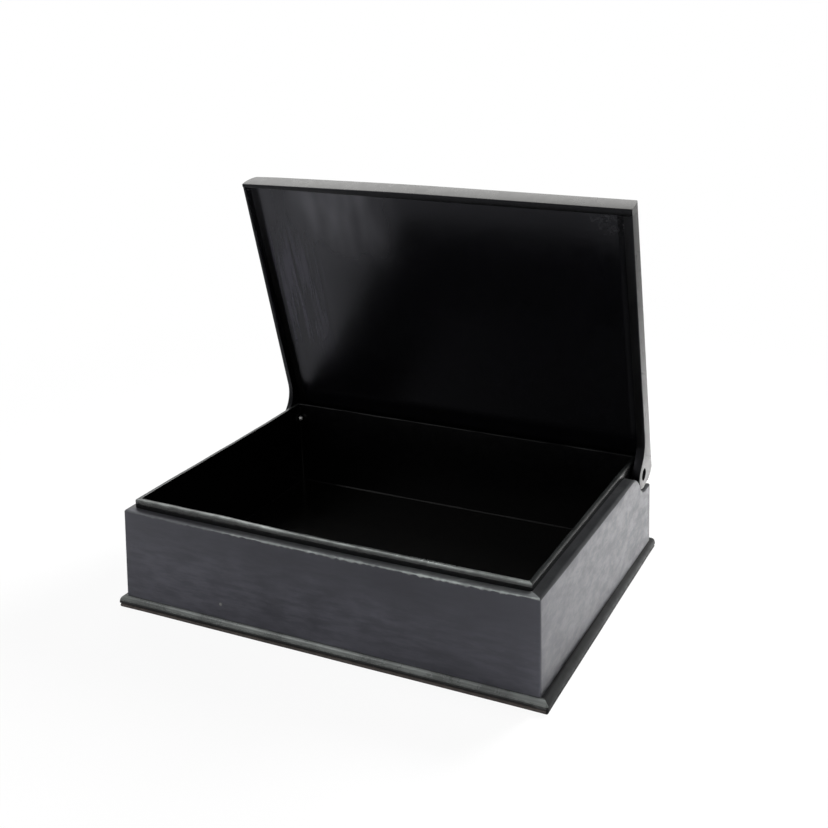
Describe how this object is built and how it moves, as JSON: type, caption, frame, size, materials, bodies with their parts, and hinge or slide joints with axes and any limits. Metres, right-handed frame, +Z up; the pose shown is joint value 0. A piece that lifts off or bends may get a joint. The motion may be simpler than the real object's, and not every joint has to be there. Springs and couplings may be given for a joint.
{
  "type": "hinged metal box",
  "caption": "Low rectangular box of blackened metal with a half-round base plate, raised inner rim and a tray lid on riveted pins, silver inlay on the lid's outer face.",
  "frame": {"origin": "centre of the underside of the base plate, on the surface that the box stands on", "axes": "+X across the front to the right, +Y from the front to the hinge side, +Z up; the lid stands open at rest"},
  "size_m": [0.1266, 0.0956, 0.1091],
  "materials": {
    "black_alloy": "blackened, satin, worn lighter at the edges",
    "liner_alloy": "blackened, satin",
    "solder": "dull, blackened with the rest",
    "pin_metal": "darkened, bright on the riveted end",
    "silver": "polished flush with the face"
  },
  "bodies": {
    "box": {"base_plate": "black_alloy", "front_wall": "black_alloy", "back_wall": "black_alloy", "left_wall": "black_alloy", "right_wall": "black_alloy", "liner_front": "liner_alloy", "liner_back": "liner_alloy", "liner_left": "liner_alloy", "liner_right": "liner_alloy", "floor_solder": "solder", "hinge_pin_left": "pin_metal", "hinge_pin_right": "pin_metal"},
    "lid": {"lid_top": "black_alloy", "lid_front_wall": "black_alloy", "lid_back_roll": "black_alloy", "lid_left_cheek": "black_alloy", "lid_right_cheek": "black_alloy", "lid_solder": "solder", "inlay_outer_border": "silver", "inlay_inner_border": "silver", "inlay_creeper": "silver", "inlay_corner_sprays": "silver", "inlay_medallion": "silver"}
  },
  "joints": [
    {"name": "lid_hinge", "type": "hinge", "parent": "box", "child": "lid", "pos_m": [0, 0.0394, 0.0265], "axis": [-1, 0, 0], "range_deg": [-74, 16]}
  ]
}
